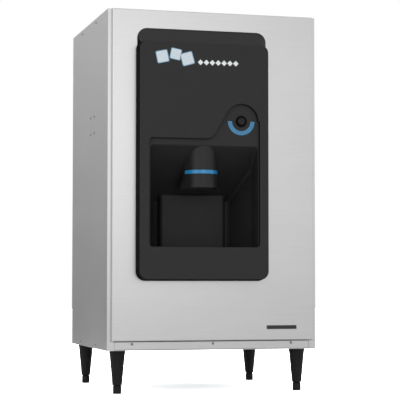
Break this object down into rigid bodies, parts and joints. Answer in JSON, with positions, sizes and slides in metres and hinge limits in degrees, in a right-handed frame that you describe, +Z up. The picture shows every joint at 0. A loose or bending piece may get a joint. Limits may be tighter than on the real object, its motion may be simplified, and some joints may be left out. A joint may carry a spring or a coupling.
{
  "type": "ice dispenser",
  "caption": "Floor-standing ice dispenser with a steel cabinet on legs, a moulded front with a recess, spout and push button, and a bin, auger and agitator inside.",
  "frame": {"origin": "on the floor, under the middle of the dispenser's bounding box", "axes": "+X to the right seen from the front, +Y from the front to the back, +Z up"},
  "size_m": [0.7668, 0.751, 1.352],
  "materials": {
    "stainless_steel": "brushed vertically, satin",
    "zinc_plated_sheet": "spangled grey",
    "black_moulded_plastic": "fine grained",
    "black_smooth_plastic": "smooth",
    "blue_plastic": "smooth",
    "black_painted_metal": "powder coated",
    "rubber_gasket": "closed cell foam",
    "white_plastic": "smooth",
    "polished_stainless": "polished",
    "screw_steel": "bright zinc",
    "bearing_plastic": "natural",
    "cast_motor_housing": "as cast",
    "insulation_foam": "foamed, cut",
    "circuit_board": "green lacquer",
    "spring_steel": "drawn wire",
    "pvc_pipe": "grey-white"
  },
  "bodies": {
    "cabinet": {"left_side_panel": "stainless_steel", "right_side_panel": "stainless_steel", "front_panel": "stainless_steel", "base_rail": "stainless_steel", "panel_screws": "screw_steel", "base_pan": "zinc_plated_sheet", "rear_panel": "zinc_plated_sheet", "top_frame": "stainless_steel", "ice_maker_gasket": "rubber_gasket", "leg_plates": "zinc_plated_sheet", "leg_nuts": "screw_steel", "bezel": "black_moulded_plastic", "bezel_nuts": "screw_steel", "recess_liner": "black_moulded_plastic", "drain_tray": "black_moulded_plastic", "drain_pipe": "pvc_pipe", "bin_drain_tube": "pvc_pipe", "spout": "black_moulded_plastic", "spout_band": "blue_plastic", "button_collar": "black_smooth_plastic", "button_spring": "spring_steel", "button_nut": "black_smooth_plastic", "button_switch": "black_smooth_plastic", "switch_bracket": "zinc_plated_sheet", "button_arc": "blue_plastic", "auger_tube": "polished_stainless", "auger_upper_bearing": "bearing_plastic", "auger_lower_bearing": "bearing_plastic", "motor_bracket": "zinc_plated_sheet", "auger_gear_motor": "cast_motor_housing", "bin": "white_plastic", "agitator_bushes": "bearing_plastic", "agitator_gear_motor": "cast_motor_housing", "drop_chute": "white_plastic", "solenoid": "black_painted_metal", "solenoid_bracket": "zinc_plated_sheet", "inlet_bushing": "black_smooth_plastic", "side_insulation": "insulation_foam", "end_insulation": "insulation_foam", "bin_stand": "zinc_plated_sheet", "control_box": "zinc_plated_sheet", "control_box_cover": "zinc_plated_sheet", "control_board": "circuit_board", "level_sensor": "white_plastic", "leg_front_left": "black_painted_metal", "leg_front_right": "black_painted_metal", "leg_rear_left": "black_painted_metal", "leg_rear_right": "black_painted_metal"},
    "button": {"push_button": "black_smooth_plastic"},
    "switch_plunger": {"switch_plunger": "white_plastic"},
    "auger": {"auger": "polished_stainless"},
    "agitator": {"agitator": "polished_stainless"},
    "flap": {"flap_door": "white_plastic", "flap_shaft": "polished_stainless"},
    "solenoid_plunger": {"solenoid_plunger": "screw_steel"},
    "drain_grille": {"drain_grille": "black_moulded_plastic"},
    "foot_front_left": {"foot_front_left": "black_painted_metal"},
    "foot_front_right": {"foot_front_right": "black_painted_metal"},
    "foot_rear_left": {"foot_rear_left": "black_painted_metal"},
    "foot_rear_right": {"foot_rear_right": "black_painted_metal"}
  },
  "joints": [
    {"name": "push_button", "type": "slide", "parent": "cabinet", "child": "button", "axis": [0, 1, 0], "range_m": [0, 0.005], "stiffness_N_per_m": 600, "springref_m": -0.004, "deforming": ["button_spring"]},
    {"name": "switch_plunger", "type": "slide", "parent": "cabinet", "child": "switch_plunger", "axis": [0, 1, 0], "range_m": [0, 0.005]},
    {"name": "auger_spin", "type": "hinge", "parent": "cabinet", "child": "auger", "pos_m": [-0.041, 0.195, 0.4855], "axis": [0, -0.7071, 0.7071], "continuous": true},
    {"name": "agitator_spin", "type": "hinge", "parent": "cabinet", "child": "agitator", "pos_m": [0, 0, 1.086], "axis": [0, 1, 0], "continuous": true},
    {"name": "flap_hinge", "type": "hinge", "parent": "cabinet", "child": "flap", "pos_m": [-0.041, -0.3315, 0.893], "axis": [-1, 0, 0], "range_deg": [0, 42], "stiffness_Nm_per_rad": 0.06, "springref_deg": -68.75},
    {"name": "solenoid_plunger", "type": "slide", "parent": "cabinet", "child": "solenoid_plunger", "axis": [0, 1, 0], "range_m": [0, 0.0193]},
    {"name": "grille_lift", "type": "slide", "parent": "cabinet", "child": "drain_grille", "axis": [0, 0, 1], "range_m": [0, 0.15]},
    {"name": "foot_front_left_height", "type": "slide", "parent": "cabinet", "child": "foot_front_left", "axis": [0, 0, -1], "range_m": [0, 0.025]},
    {"name": "foot_front_right_height", "type": "slide", "parent": "cabinet", "child": "foot_front_right", "axis": [0, 0, -1], "range_m": [0, 0.025]},
    {"name": "foot_rear_left_height", "type": "slide", "parent": "cabinet", "child": "foot_rear_left", "axis": [0, 0, -1], "range_m": [0, 0.025]},
    {"name": "foot_rear_right_height", "type": "slide", "parent": "cabinet", "child": "foot_rear_right", "axis": [0, 0, -1], "range_m": [0, 0.025]}
  ],
  "couplings": [
    {"joint": "switch_plunger", "follows": "push_button", "ratio": 1},
    {"joint": "solenoid_plunger", "follows": "flap_hinge", "m_per_rad": 0.02619}
  ]
}
